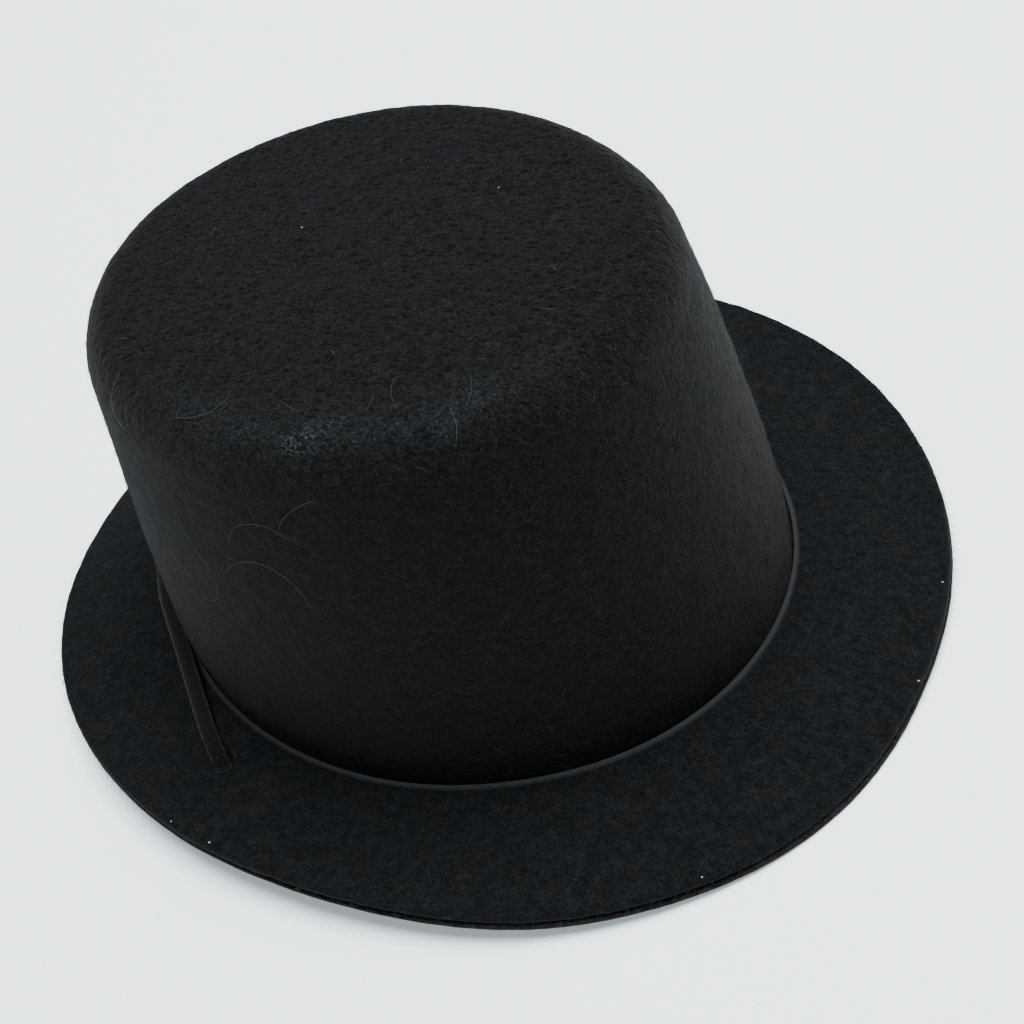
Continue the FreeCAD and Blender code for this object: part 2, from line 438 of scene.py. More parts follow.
def build_crown():
    outer = crown_section(0.0, FINE_STEP)
    inner = crown_section(FELT, INNER_STEP)
    verts = []
    painted_shade = []
    dust_and_sheen = []
    climb = 0.0
    before = outer[0]
    for (half_length, height), (out, up) in zip(outer, section_normals(outer)):
        climb += math.hypot(half_length - before[0], height - before[1])
        before = (half_length, height)
        near_foot = math.exp(-((max(height, 0.0) / TUCK_HEIGHT) ** 2))
        tuck = FOOT_TUCK * near_foot
        near_brow = math.exp(-(((climb - DUST_SHEEN_CLIMB) / DUST_SHEEN_SPREAD) ** 2))
        for point in oval_ring(half_length, height, ROUND_STEPS):
            flat = point - lean(height)
            flat = Vector((flat.x, flat.y, 0.0)).normalized()
            front = smooth_step(0.50, 0.90, flat.dot(DUST_SHEEN_SIDE))
            patch = smooth_step(0.0, 0.45, noise.noise(point / (7.0 * MM)))
            # Painted shade, strongest at the foot.
            painted_shade.append(FOOT_PAINTED_SHADE * near_foot)
            # Dust specks and painted sheen, on the front of the tip's edge.
            dust_and_sheen.append(near_brow * front * (0.25 + 0.75 * patch))
            normal = Vector((flat.x * out, flat.y * out, up))
            relief = felt_relief(point, smooth_step(-1.0 * MM, 1.0 * MM, height))
            verts.append(point + normal * (relief - tuck * out))
    tip = len(verts)
    tip_point = Vector((0.0, 0.0, BRIM_TOP_Z + CROWN_HEIGHT)) + lean(CROWN_HEIGHT)
    verts.append(tip_point + Vector((0.0, 0.0, felt_relief(tip_point))))
    faces = ring_faces(len(outer), ROUND_STEPS)
    last = (len(outer) - 1) * ROUND_STEPS
    faces += [(last + i, last + (i + 1) % ROUND_STEPS, tip) for i in range(ROUND_STEPS)]
    start = len(verts)
    for half_length, height in inner:
        verts += oval_ring(half_length, height, ROUND_STEPS)
    inside = ring_faces(len(inner), ROUND_STEPS, start=start)
    faces += [tuple(reversed(face)) for face in inside]
    pit = len(verts)
    verts.append(tip_point - Vector((0.0, 0.0, FELT)))
    last = start + (len(inner) - 1) * ROUND_STEPS
    faces += [(last + (i + 1) % ROUND_STEPS, last + i, pit) for i in range(ROUND_STEPS)]
    for i in range(ROUND_STEPS):
        j = (i + 1) % ROUND_STEPS
        faces.append((i, start + i, start + j, j))
    piece = add_piece("crown", verts, faces, crown_felt)
    plain = [0.0] * (len(verts) - len(painted_shade))
    set_attribute(piece, "painted_shade", painted_shade + plain)
    set_attribute(piece, "dust_and_sheen", dust_and_sheen + plain)
    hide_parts("crown_shell")
    return piece


crown = build_crown()
print("crown:", len(crown.data.vertices), "points")

# %% [markdown]
# ## The brim
# The brim is an oval ring of felt in two plies. Each is cut flat and steamed to a gentle
# saddle: down at the front and back, up at the sides. The same height formula shapes both,
# so they lie together. The upper ply's inner edge is pressed against the crown and stands
# up as a thin ridge, with a painted highlight along its top. The elastic's holes pull small
# funnels into the felt, and painted shade darkens the felt round them.

# %% Brim shape
brim_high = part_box("brim_top")[1]
under_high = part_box("brim_under")[1]
BRIM_HALF_LENGTH = brim_high.x
BRIM_HALF_WIDTH = brim_high.y
BRIM_FULLNESS = 2.13
UNDER_PLY = 0.7 * MM
UNDER_PROUD = under_high.x - brim_high.x
OPENING_INSET = 3.6 * MM
BRIM_DIP = 2.3 * MM
BRIM_MEAN_RISE = -1.1 * MM
DIP_TURN = math.radians(17.2)
CURL_POWER = 1.6
RIDGE_WIDTH = 0.70 * MM
RIDGE_HEIGHT = 0.34 * MM
HOLE = (-17.0, -42.4, 4.5)  # millimetres, on the wearer's right
HOLES = [Vector((HOLE[0], side * HOLE[1], HOLE[2])) * MM for side in (1, -1)]
FUNNEL_RADIUS = 3.0 * MM
FUNNEL_DEPTH = 0.75 * MM
CROWN_HALF_WIDTH = CROWN_HALF_LENGTH * CROWN_SQUASH
BRIM_REACH = BRIM_HALF_LENGTH - CROWN_HALF_LENGTH
print("brim reaches", round(BRIM_REACH / MM, 2), "mm out from the crown")


def full(value, fullness):
    return math.copysign(abs(value) ** (2.0 / fullness), value)


def edge_rise(angle):
    return BRIM_MEAN_RISE - BRIM_DIP * math.cos(2.0 * (angle + DIP_TURN))


def brim_point(angle, outward, grow=0.0):
    """A point on the brim's upper face: outward runs from 0 at the crown to 1 at the edge."""
    half_length = CROWN_HALF_LENGTH + BRIM_REACH * outward + grow
    half_width = CROWN_HALF_WIDTH + (BRIM_HALF_WIDTH - CROWN_HALF_WIDTH) * outward + grow
    fullness = 2.0 + (BRIM_FULLNESS - 2.0) * outward
    reach = max(outward + grow / BRIM_REACH, 0.0)
    return Vector((
        half_length * full(math.cos(angle), fullness),
        half_width * full(math.sin(angle), fullness),
        BRIM_TOP_Z + edge_rise(angle) * reach ** CURL_POWER,
    ))


def funnel(point):
    """How far the felt is pulled down round the elastic's holes."""
    nearest = min(math.hypot(point.x - h.x, point.y - h.y) for h in HOLES)
    return FUNNEL_DEPTH * (1.0 - smooth_step(0.3 * FUNNEL_RADIUS, FUNNEL_RADIUS, nearest))


# %% [markdown]
# ## The brim's meshes
# Each ply is a flat ring with a rounded rim. Its rows run out over the top, round the edge
# and back underneath, so the felt is a closed skin. Where a real under ply is cut a little
# larger, by hand, its edge shows unevenly, so it is trimmed more on one side than another.
# A Boolean with a slanting rod cuts each hole, the way an awl pushes through felt.

# %% Brim meshes
PROUD_TURN = math.radians(47.0)
HOLE_SLANT = Vector((2.4, 2.2, -3.4))
UPPER_LIVELY = 0.75
UNDER_LIVELY = 0.35
UNDER_TRIM = 0.50 * MM


def ply_rows(top, thickness, inner, grow, step):
    """Rows from the inner edge over the top, round the rim and back underneath.

    Each row is (outward, extra width, drop, up, out), the last two its facing."""
    half = thickness / 2.0
    width = BRIM_REACH * (1.0 - inner)
    count = round(width / step)
    rows = []
    for i in range(count + 1):
        share = i / count
        rows.append((inner + (1.0 - inner) * share, grow * share - half * share, top, 1.0, 0.0))
    for i in range(1, 8):
        turn = math.pi * i / 8.0
        rows.append((
            1.0, grow - half + half * math.sin(turn), top + half * (1.0 - math.cos(turn)),
            math.cos(turn), math.sin(turn),
        ))
    under = max(6, round(width / (4.0 * step)))
    for i in range(under + 1):
        share = 1.0 - i / under
        rows.append((
            inner + (1.0 - inner) * share, grow * share - half * share, top + thickness, -1.0, 0.0,
        ))
    return rows


def build_ply(name, top, thickness, inner, grow, material, ridge, lively, trimmed=0.0):
    rows = ply_rows(top, thickness, inner, grow, FINE_STEP)
    verts = []
    ridge_highlight = []
    painted_shade = []
    for outward, wider, drop, up, out in rows:
        from_crown = outward * BRIM_REACH
        mark = ridge * (1.0 - smooth_step(0.55 * RIDGE_WIDTH, RIDGE_WIDTH, from_crown))
        for i in range(ROUND_STEPS):
            angle = 2.0 * math.pi * i / ROUND_STEPS
            shave = 0.5 + 0.5 * smooth_step(-0.9, -0.62, -math.cos(angle + PROUD_TURN))
            uneven = wider - trimmed * shave * outward
            point = brim_point(angle, outward, uneven)
            flat = Vector((point.x, point.y, 0.0)).normalized()
            point.z -= drop
            relief = felt_relief(point, lively * (1.0 - mark))
            top_face = 1.0 if up > 0.5 else 0.0
            lift = mark * RIDGE_HEIGHT * top_face - funnel(point) * abs(up)
            away = Vector((flat.x * out, flat.y * out, up))
            point += away * relief + Vector((0.0, 0.0, lift))
            point.z = max(point.z, 0.0)
            verts.append(point)
            # Painted highlight on the ridge's top face.
            ridge_highlight.append(mark * top_face)
            # Painted shade round the elastic's holes, darkest just beside them.
            hole_gap = min(math.hypot(point.x - h.x - 1.0 * MM, point.y - h.y) for h in HOLES)
            painted_shade.append(0.95 * (1.0 - smooth_step(1.5 * MM, 2.6 * MM, hole_gap)))
    faces = ring_faces(len(rows), ROUND_STEPS, close_rows=True)
    faces = [tuple(reversed(face)) for face in faces]
    piece = add_piece(name, verts, faces, material)
    set_attribute(piece, "ridge_highlight", ridge_highlight)
    set_attribute(piece, "painted_shade", painted_shade)
    return piece


def pierce(piece, radius, beside):
    """Cut the elastic's two slanting holes through a ply, this wide and this far beside it."""
    for side, hole in zip((-1, 1), HOLES):
        along = Vector((HOLE_SLANT.x, side * HOLE_SLANT.y, HOLE_SLANT.z)).normalized()
        bm = bmesh.new()
        bmesh.ops.create_cone(
            bm, cap_ends=True, segments=24, radius1=radius, radius2=radius, depth=9.0 * MM,
        )
        turn = along.to_track_quat("Z", "Y").to_matrix().to_4x4()
        aside = Vector((beside, side * beside * 0.35, 0.0))
        bm.transform(Matrix.Translation(hole + aside) @ turn)
        mesh = bpy.data.meshes.new("awl")
        bm.to_mesh(mesh)
        bm.free()
        awl = bpy.data.objects.new("awl", mesh)
        bpy.context.scene.collection.objects.link(awl)
        cut = piece.modifiers.new("hole", "BOOLEAN")
        cut.operation = "DIFFERENCE"
        cut.solver = "EXACT"
        cut.object = awl
        bake_modifiers(piece)
        bpy.data.objects.remove(awl)


def bake_modifiers(piece):
    graph = bpy.context.evaluated_depsgraph_get()
    shape = bpy.data.meshes.new_from_object(
        piece.evaluated_get(graph), preserve_all_data_layers=True, depsgraph=graph,
    )
    piece.modifiers.clear()
    piece.data = shape


brim_top = build_ply(
    "brim_upper", 0.0, TOP_PLY, GLUE_GAP / BRIM_REACH, 0.0, brim_felt,
    1.0, UPPER_LIVELY,
)
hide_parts("brim_top")
pierce(brim_top, 1.85 * MM, 1.0 * MM)
brim_under = build_ply(
    "brim_lower", TOP_PLY + GLUE_GAP, UNDER_PLY - GLUE_GAP, -OPENING_INSET / BRIM_REACH,
    UNDER_PROUD, under_felt, 0.0, UNDER_LIVELY, trimmed=UNDER_TRIM,
)
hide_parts("brim_under")
pierce(brim_under, 1.25 * MM, 0.0)
print("brim plies:", len(brim_top.data.vertices), len(brim_under.data.vertices), "points")

# %% [markdown]
# ## The nap
# What makes felt look like felt is its loose fibres. Each one lies in the surface, arches
# up a little and dives back, or ends in the air. Each is a real, very thin closed tube of
# three sides, so it catches light and softens the outline. Every fibre keeps a shade of its
# own, stored on its points, because dyed wool is never one black.

# %% Fibre material
def fibre_material():
    material, nodes, links, shader = new_material("loose wool", 0.75, 0.25, 0.0)
    shade = nodes.new("ShaderNodeAttribute")
    shade.attribute_name = "shade"
    ramp = nodes.new("ShaderNodeValToRGB")
    ramp.color_ramp.elements[0].color = (0.003, 0.0033, 0.004, 1.0)
    ramp.color_ramp.elements[1].color = (0.30, 0.31, 0.32, 1.0)
    middle = ramp.color_ramp.elements.new(0.5)
    middle.color = (0.0115, 0.0114, 0.0118, 1.0)
    links.new(shade.outputs["Fac"], ramp.inputs["Fac"])
    links.new(ramp.outputs["Color"], shader.inputs["Base Color"])
    return material


loose_wool = fibre_material()
print("fibre material:", loose_wool.name)

# %% [markdown]
# ## Laying one fibre
# Blender's hair would draw fibres faster, but it is not a mesh, and the finished model has
# to be one. So a fibre is a path with a three-sided tube round it. Two functions give a
# point on the crown or on the brim from how far out it is and its bearing, and a fibre
# walks over that surface with a random heading that keeps turning.

# %% Fibre helpers
FIBRE_SIDES = 3


class Fibres:
    """Many thin closed tubes, gathered into one mesh."""

    def __init__(self):
        self.verts = []
        self.faces = []
        self.shades = []

    def add(self, path, radius, shade):
        start = len(self.verts)
        side = None
        last = len(path) - 1
        for k, here in enumerate(path):
            ahead = (path[min(k + 1, last)] - path[max(k - 1, 0)]).normalized()
            side = ahead.orthogonal() if side is None else side - ahead * side.dot(ahead)
            side = side.normalized()
            other = ahead.cross(side)
            thick = radius if 0 < k < last else radius * 0.6
            for j in range(FIBRE_SIDES):
                angle = 2.0 * math.pi * j / FIBRE_SIDES
                self.verts.append(here + (side * math.cos(angle) + other * math.sin(angle)) * thick)
                self.shades.append(shade)
        self.faces += ring_faces(len(path), FIBRE_SIDES, start=start)
        end = start + last * FIBRE_SIDES
        self.faces.append((start + 2, start + 1, start))
        self.faces.append((end, end + 1, end + 2))

    def piece(self, name, slot, node):
        made = add_piece(name, self.verts, self.faces, loose_wool)
        set_attribute(made, "shade", self.shades)
        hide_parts(node)
        return made


OUTER_SECTION = crown_section(0.0, FINE_STEP)
OUTER_NORMALS = section_normals(OUTER_SECTION)
OUTER_REACH = [0.0]
for (x0, z0), (x1, z1) in zip(OUTER_SECTION, OUTER_SECTION[1:]):
    OUTER_REACH.append(OUTER_REACH[-1] + math.hypot(x1 - x0, z1 - z0))


def on_crown(climb, angle, lift):
    """Point on the crown, this far up its section from the foot, lifted off the felt."""
    spot = min(max(bisect.bisect(OUTER_REACH, climb) - 1, 0), len(OUTER_REACH) - 2)
    share = (climb - OUTER_REACH[spot]) / (OUTER_REACH[spot + 1] - OUTER_REACH[spot])
    half_length = OUTER_SECTION[spot][0] * (1.0 - share) + OUTER_SECTION[spot + 1][0] * share
    height = OUTER_SECTION[spot][1] * (1.0 - share) + OUTER_SECTION[spot + 1][1] * share
    out, up = OUTER_NORMALS[spot]
    flat = Vector((math.cos(angle), CROWN_SQUASH * math.sin(angle), 0.0))
    point = flat * half_length + Vector((0.0, 0.0, BRIM_TOP_Z + height)) + lean(height)
    flat.normalize()
    return point + (flat * out + Vector((0.0, 0.0, up))) * (felt_relief(point) + lift)


def crown_around(climb):
    """Half the crown's length, this far up its section from the foot."""
    spot = min(max(bisect.bisect(OUTER_REACH, climb) - 1, 0), len(OUTER_REACH) - 1)
    return max(OUTER_SECTION[spot][0], 1.5 * MM)


def on_brim(distance, angle, lift):
    """Point on the brim's top, this far out from the crown, lifted off the felt."""
    point = brim_point(angle, distance / BRIM_REACH)
    point.z += felt_relief(point, UPPER_LIVELY) + lift - funnel(point)
    return point


def wander(surface, chance, start, angle, length, around, steps, radius, shade, fibres):
    """One loose fibre that strays over a surface."""
    heading = chance.uniform(0.0, 2.0 * math.pi)
    curl = chance.gauss(0.0, 1.3)
    free = chance.random() < 0.35
    arch = chance.uniform(0.03, 0.22) * MM
    path = []
    for k in range(steps):
        share = k / (steps - 1)
        lift = arch * math.sin(math.pi * share) - 0.02 * MM
        if free:
            lift = arch * share * 2.2
        path.append(surface(start, angle, lift))
        step = length / (steps - 1)
        start += math.cos(heading) * step
        angle += math.sin(heading) * step / around(start)
        heading += curl / (steps - 1) + chance.gauss(0.0, 0.35)
    fibres.add(path, radius, shade)


def some_shade(chance):
    pick = chance.random()
    if pick < 0.60:
        return chance.uniform(0.10, 0.40)
    if pick < 0.996:
        return chance.uniform(0.40, 0.54)
    return chance.uniform(0.56, 0.66)


# %% [markdown]
# ## Scattering the nap
# Fibres start at random places. A place nearer the middle of the tip covers less felt, so
# some starts there are thrown away, which keeps the nap even. The brim's cut edge gets
# short fibres of its own that stick out and droop, because a cut edge sheds.

# %% Nap pieces
CROWN_FIBRES = 9900
BRIM_FIBRES = 7000
EDGE_FIBRES = 1500
FOOT_CLEAR = 1.9 * MM
FIBRE_FACES = 11


def crown_nap():
    chance = random.Random(41)
    fibres = Fibres()
    top = OUTER_REACH[-1] - 0.3 * MM

    def surface(climb, angle, lift):
        return on_crown(min(max(climb, FOOT_CLEAR), top), angle, lift)

    while len(fibres.faces) < CROWN_FIBRES * FIBRE_FACES:
        climb = chance.uniform(FOOT_CLEAR, top)
        if chance.random() > crown_around(climb) / CROWN_HALF_LENGTH:
            continue
        wander(
            surface, chance, climb, chance.uniform(0.0, 2.0 * math.pi),
            chance.uniform(0.6, 2.2) * MM, crown_around, 4, chance.uniform(0.013, 0.022) * MM,
            some_shade(chance), fibres,
        )
    return fibres.piece("crown_nap", "crown_felt", "crown_shell")


def brim_nap():
    chance = random.Random(43)
    fibres = Fibres()
    inner = RIDGE_WIDTH + 0.3 * MM

    def around(distance):
        return CROWN_HALF_LENGTH + distance

    def surface(distance, angle, lift):
        return on_brim(max(distance, inner), angle, lift)

    while len(fibres.faces) < BRIM_FIBRES * FIBRE_FACES:
        distance = chance.uniform(inner, BRIM_REACH - 0.2 * MM)
        if chance.random() > around(distance) / BRIM_HALF_LENGTH:
            continue
        wander(
            surface, chance, distance, chance.uniform(0.0, 2.0 * math.pi),
            chance.uniform(0.5, 1.8) * MM, around, 4, chance.uniform(0.012, 0.020) * MM,
            some_shade(chance) * 0.72, fibres,
        )
    for _ in range(EDGE_FIBRES):
        angle = chance.uniform(0.0, 2.0 * math.pi)
        droop = chance.uniform(0.1, 1.6) * MM
        reach = chance.uniform(0.15, 0.75) * MM
        slew = chance.gauss(0.0, 0.5) * MM / BRIM_HALF_LENGTH
        path = []
        for k in range(4):
            share = k / 3.0
            point = brim_point(angle + slew * share, 1.0, reach * share - 0.15 * MM)
            point.z -= droop + reach * 0.4 * share * share
            path.append(point)
        fibres.add(path, 0.02 * MM, some_shade(chance))
    return fibres.piece("brim_nap", "brim_felt", "brim_top")


nap = [crown_nap(), brim_nap()]
print("nap faces:", [len(piece.data.polygons) for piece in nap])

# %% [markdown]
# ## Stray hairs
# A few long pale hairs have landed on the felt. They could be drawn one by one, but where
# such hairs lie is chance, so a rule makes them: short ones gather near the tip's rounded
# edge on the side that gets handled, and a few long curly ones cling to the wall there. A
# seeded random number gives each its start, heading, length and curl, so every run agrees.

# %% Stray hairs
HANDLED_SIDE = math.radians(-65.0)
SIDE_SPREAD = math.radians(24.0)
TIP_HAIRS = 9
WALL_HAIRS = 3
HAIR_STEP = 0.6 * MM
HAIR_LIFT = 0.10 * MM


def one_hair(chance, fibres, climb, angle, length, curl):
    steps = max(int(length / HAIR_STEP), 6)
    heading = chance.uniform(0.0, 2.0 * math.pi)
    turn = chance.choice((-1.0, 1.0)) * curl / steps
    highest = OUTER_REACH[-1] - TIP_RADIUS
    path = []
    for k in range(steps + 1):
        lift = HAIR_LIFT * (1.0 + math.sin(math.pi * k / steps))
        climb = min(max(climb, FOOT_CLEAR), highest)
        path.append(on_crown(climb, angle, lift))
        climb += math.cos(heading) * length / steps
        angle += math.sin(heading) * length / steps / crown_around(climb)
        heading += turn + chance.gauss(0.0, 0.05)
    fibres.add(path, chance.uniform(0.016, 0.022) * MM, chance.uniform(0.56, 0.62))


def stray_hairs():
    chance = random.Random(47)
    fibres = Fibres()
    tip_edge = OUTER_REACH[-1] - TIP_HALF_LENGTH + TIP_RADIUS
    for _ in range(TIP_HAIRS):
        one_hair(
            chance, fibres, tip_edge + chance.gauss(4.0, 5.0) * MM,
            chance.gauss(HANDLED_SIDE, SIDE_SPREAD), chance.uniform(3.5, 9.0) * MM,
            chance.uniform(0.2, 1.8),
        )
    for _ in range(WALL_HAIRS):
        one_hair(
            chance, fibres, CROWN_HEIGHT * chance.uniform(0.45, 0.85),
            chance.gauss(HANDLED_SIDE, 2.0 * SIDE_SPREAD), chance.uniform(12.0, 24.0) * MM,
            chance.uniform(1.5, 3.0),
        )
    return fibres.piece("stray_hairs", "crown_felt", "crown_shell")


hairs = stray_hairs()
print("stray hairs:", TIP_HAIRS + WALL_HAIRS, "faces:", len(hairs.data.polygons))

# %% [markdown]
# ## The elastic
# A round braided elastic goes through the two holes. One stretch is held: it comes up out of
# a hole, runs back round the crown's foot and down the other hole. Two free stretches lie
# under the hat, folded back and forth, and meet in a knot. A smooth curve through a few
# listed points gives each line, and a tube is swept along it. The braid is two sets
# of strands that wind opposite ways, so the tube's radius rises where a strand is on top.

# %% Elastic routes
ELASTIC_DIAMETER = 2.2 * MM
FLOOR_Z = 1.1  # millimetres, as the routes are: half the elastic's thickness
FREE_ROUTE = [
    HOLE,
    (-14.6, -44.6, FLOOR_Z),
    (-10.2, -48.6, FLOOR_Z),
    (-4.2, -48.6, FLOOR_Z),
    (0.2, -44.2, FLOOR_Z),
    (0.9, -37.0, FLOOR_Z),
    (0.4, -29.6, FLOOR_Z),
    (5.0, -25.0, FLOOR_Z),
    (13.0, -24.2, FLOOR_Z),
    (24.5, -24.6, FLOOR_Z),
    (29.4, -20.0, FLOOR_Z),
    (29.6, -13.3, FLOOR_Z),
    (25.0, -8.4, FLOOR_Z),
    (13.5, -6.8, FLOOR_Z),
    (-2.0, -8.4, FLOOR_Z),
    (-14.0, -12.0, FLOOR_Z),
    (-25.5, -15.0, FLOOR_Z),
    (-33.3, -10.2, FLOOR_Z),
    (-34.0, -2.6, FLOOR_Z),
]
HELD_ROUTE = [
    HOLE,
    (-18.2, -41.3, 6.4),
    (-20.6, -39.1, 7.9),
    (-30.5, -29.9, 9.0),
    (-41.6, -19.9, 10.0),
    (-46.6, -6.5, 10.5),
]


def other_side(route):
    return [(x, -y, z) for x, y, z in route]


def smooth_line(name, route):
    """Centre line of a cord: a smooth spline that the route's points steer."""
    data = bpy.data.curves.new(name, "CURVE")
    data.dimensions = "3D"
    data.resolution_u = 16
    spline = data.splines.new("NURBS")
    spline.points.add(len(route) - 1)
    for point, place in zip(spline.points, route):
        point.co = (*(value * MM for value in place), 1.0)
    spline.order_u = 3
    spline.use_endpoint_u = True
    guide = bpy.data.objects.new(name, data)
    bpy.context.scene.collection.objects.link(guide)
    bpy.context.view_layer.update()
    mesh = bpy.data.meshes.new_from_object(guide)
    line = [vertex.co.copy() for vertex in mesh.vertices]
    bpy.data.objects.remove(guide)
    return line


def line_length(line):
    return sum((b - a).length for a, b in zip(line, line[1:]))


def evenly(line, step):
    """Points along a line at even steps."""
    total = line_length(line)
    count = max(2, round(total / step))
    result = [line[0]]
    walked = 0.0
    target = total / count
    for a, b in zip(line, line[1:]):
        long = (b - a).length
        while walked + long >= target * len(result) and len(result) < count:
            result.append(a.lerp(b, (target * len(result) - walked) / long))
        walked += long
    result.append(line[-1])
    return result


print("route points:", len(FREE_ROUTE), "free,", len(HELD_ROUTE), "held on each side")

# %% [markdown]
# ## The braid
# A round braid is strands that wind left and right by turns. Modelling each strand would
# cost many faces for little, so one tube's radius rises and falls with whichever strand is
# on top at that place. The tube's rings are carried along the line without twisting.

# %% Braided tube
BRAID_STRANDS = 6
BRAID_PITCH = 4.4 * MM
BRAID_RELIEF = 0.10 * MM
TUBE_SIDES = 30


def braid_height(round_share, walked):
    """Height of the braid, from 0 to 1, at a place round and along the cord."""
    turn = 2.0 * math.pi * round_share * BRAID_STRANDS
    climb = 2.0 * math.pi * walked / BRAID_PITCH * BRAID_STRANDS / 2.0
    one = math.cos(turn + climb)
    other = math.cos(turn - climb)
    return max(one, other) * 0.5 + 0.5


def sweep(line, radius_at):
    """Tube rings along a line, kept from twisting by carrying the side vector along."""
    verts = []
    side = None
    walked = 0.0
    for i, here in enumerate(line):
        ahead = (line[min(i + 1, len(line) - 1)] - line[max(i - 1, 0)]).normalized()
        if side is None:
            side = ahead.orthogonal().normalized()
        side = (side - ahead * side.dot(ahead)).normalized()
        other = ahead.cross(side)
        if i:
            walked += (here - line[i - 1]).length
        for k in range(TUBE_SIDES):
            angle = 2.0 * math.pi * k / TUBE_SIDES
            radius = radius_at(k / TUBE_SIDES, walked)
            verts.append(here + (side * math.cos(angle) + other * math.sin(angle)) * radius)
    return verts


def tube_faces(rings):
    faces = ring_faces(rings, TUBE_SIDES)
    faces.append(tuple(reversed(range(TUBE_SIDES))))
    faces.append(tuple(range((rings - 1) * TUBE_SIDES, rings * TUBE_SIDES)))
    return faces


def braided(name, line, material):
    line = evenly(line, 0.24 * MM)
    base = ELASTIC_DIAMETER / 2.0 - BRAID_RELIEF
    verts = sweep(line, lambda share, walked: base + BRAID_RELIEF * braid_height(share, walked))
    return add_piece(name, verts, tube_faces(len(line)), material)


print("braid:", BRAID_STRANDS, "strands, one turn in", round(BRAID_PITCH / MM, 1), "mm")

# %% [markdown]
# ## The elastic's cover
# The cover is matt polyester thread, about as dark as the felt. Fine noise gives each
# thread its own tone, and the same noise makes the bump, so light and shape agree.

# %% Elastic material
def elastic_cover():
    material, nodes, links, shader = new_material("elastic cover", 0.85, 0.08, 0.06)
    place = nodes.new("ShaderNodeTexCoord").outputs["Object"]
    thread = add_noise(nodes, links, place, 2600.0, 3.0, 0.5)
    ramp = nodes.new("ShaderNodeValToRGB")
    ramp.color_ramp.elements[0].position = 0.35
    ramp.color_ramp.elements[0].color = (0.0018, 0.0019, 0.0022, 1.0)
    ramp.color_ramp.elements[1].position = 0.7
    ramp.color_ramp.elements[1].color = (0.0042, 0.0044, 0.0048, 1.0)
    links.new(thread, ramp.inputs["Fac"])
    links.new(ramp.outputs["Color"], shader.inputs["Base Color"])
    add_bump(nodes, links, shader, thread, 0.08 * MM)
    return material


cover = elastic_cover()
print("elastic's material:", cover.name)

# %% [markdown]
# ## The held stretch
# The held stretch is one line from hole to hole. Only its right half is written down. The
# left half is its mirror image, taken backwards.

# %% Held elastic
held_line = smooth_line("held", HELD_ROUTE + list(reversed(other_side(HELD_ROUTE))))
elastic_band = braided("elastic_round_crown", held_line, cover)
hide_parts("elastic_band")
print("held elastic:", round(line_length(held_line) / MM, 1), "mm along its line")

# %% [markdown]
# ## The knot
# The two ends are tied in an overhand knot. Its line is the trefoil curve of the textbooks,
# squeezed small, and two tails stick out of it. It comes before the free stretches,
# because each of them ends in it.

# %% Knot
knot_low, knot_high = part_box("elastic_knot")
KNOT_CENTRE = (knot_low + knot_high) / 2.0
KNOT_POINTS = 90
KNOT_SPREAD = 0.46
KNOT_DEPTH = 1.05
TAIL_POINTS = 12


def build_knot():
    """A tight overhand knot: a three-lobed loop of the same cord, pulled small."""
    loop = []
    for i in range(KNOT_POINTS):
        t = 2.0 * math.pi * i / KNOT_POINTS
        x = math.sin(t) + 2.0 * math.sin(2.0 * t)
        z = math.cos(t) - 2.0 * math.cos(2.0 * t)
        y = -math.sin(3.0 * t)
        step = Vector((x * KNOT_SPREAD, y * KNOT_DEPTH, z * KNOT_SPREAD))
        loop.append(KNOT_CENTRE + step * MM)
    return loop


knot_line = build_knot()
knot_radius = 0.86 * MM
knot_rings = sweep(knot_line, lambda share, walked: knot_radius)
knot_faces = ring_faces(len(knot_line), TUBE_SIDES, close_rows=True)
base = ELASTIC_DIAMETER / 2.0 - BRAID_RELIEF
for way in (-1, 1):
    tail = []
    for k in range(TAIL_POINTS):
        share = k / (TAIL_POINTS - 1)
        step = Vector((-1.2 - 5.2 * share, way * (0.5 + 1.6 * share ** 2), -1.2 * share ** 0.5))
        tail.append(KNOT_CENTRE + step * MM)
    start = len(knot_rings)
    knot_rings += sweep(tail, lambda share, walked: base + BRAID_RELIEF * braid_height(share, walked))
    knot_faces += [tuple(start + v for v in face) for face in tube_faces(len(tail))]
knot = add_piece("elastic_tied_ends", knot_rings, knot_faces, cover)
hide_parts("elastic_knot")
print("knot:", len(knot.data.vertices), "points")

# %% [markdown]
# ## The free stretches
# Elastic that nobody wears lies where it falls. Here it comes down through the brim, runs
# in under it, and is folded back and forth inside the head opening, as if put away. Each
# stretch's length is measured along the line that the tube follows.

# %% Free elastic
for side, label, node in ((1, "right", "elastic_right"), (-1, "left", "elastic_left")):
    route = FREE_ROUTE if side == 1 else other_side(FREE_ROUTE)
    line = smooth_line("free " + label, route)
    piece = braided("elastic_free_" + label, line, cover)
    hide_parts(node)
    tuple(line[0])
    line_length(line)
    [tuple(p) for p in line]
    print("free elastic", label, round(line_length(line), 4), "m")

# %% [markdown]
# ## Woven finishes
# Three woven things are inside the crown: buckram, grosgrain ribbon and sewing thread. A
# weave is bands that cross, so wave textures along three directions are added together.
# The sum gives both the colour and the bump, at a pitch that suits each cloth.

